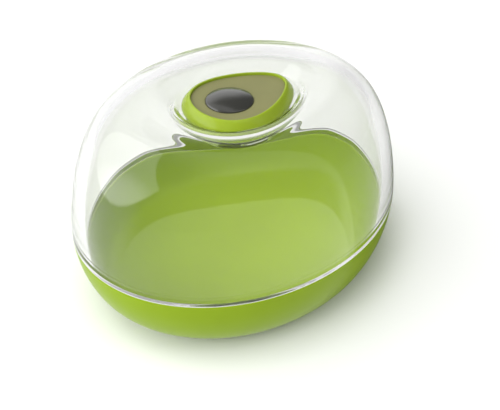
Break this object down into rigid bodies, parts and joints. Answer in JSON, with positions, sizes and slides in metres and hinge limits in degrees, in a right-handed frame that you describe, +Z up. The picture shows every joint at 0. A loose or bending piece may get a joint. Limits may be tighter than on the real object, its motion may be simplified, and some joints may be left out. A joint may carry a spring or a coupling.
{
  "type": "avocado keeper",
  "caption": "Rounded keeper for half an avocado: green bowl, thick clear dome with a crater, and a half-avocado knob with a press vent.",
  "frame": {"origin": "centre of the footprint, on the surface that the bowl rests on", "axes": "+Z up, +X along the length towards the narrow end of the avocado shapes"},
  "size_m": [0.14, 0.114, 0.0805],
  "materials": {
    "bowl_plastic": "glossy, slightly milky green",
    "rim_silicone": "soft satin",
    "clear_acrylic": "clear, polished",
    "knob_plastic": "glossy",
    "face_plastic": "satin",
    "pit_plastic": "glossy",
    "seal_silicone": "matte",
    "fastener_steel": "bright",
    "spring_steel": "bright"
  },
  "bodies": {
    "base": {"base_bowl": "bowl_plastic", "rim_gasket": "rim_silicone"},
    "lid": {"lid_dome": "clear_acrylic", "knob_body": "knob_plastic", "knob_face": "face_plastic", "knob_gasket": "seal_silicone", "knob_screws": "fastener_steel", "button_spring": "spring_steel"},
    "vent": {"pit_button": "pit_plastic", "valve_stem": "fastener_steel", "valve_seal": "seal_silicone", "stem_clip": "fastener_steel"}
  },
  "joints": [
    {"name": "lid_lift", "type": "slide", "parent": "base", "child": "lid", "axis": [0, 0, 1], "range_m": [0, 0.06]},
    {"name": "vent_press", "type": "slide", "parent": "lid", "child": "vent", "axis": [0, 0, -1], "range_m": [0, 0.002], "stiffness_N_per_m": 400, "springref_m": -0.0025, "deforming": ["button_spring"]}
  ]
}
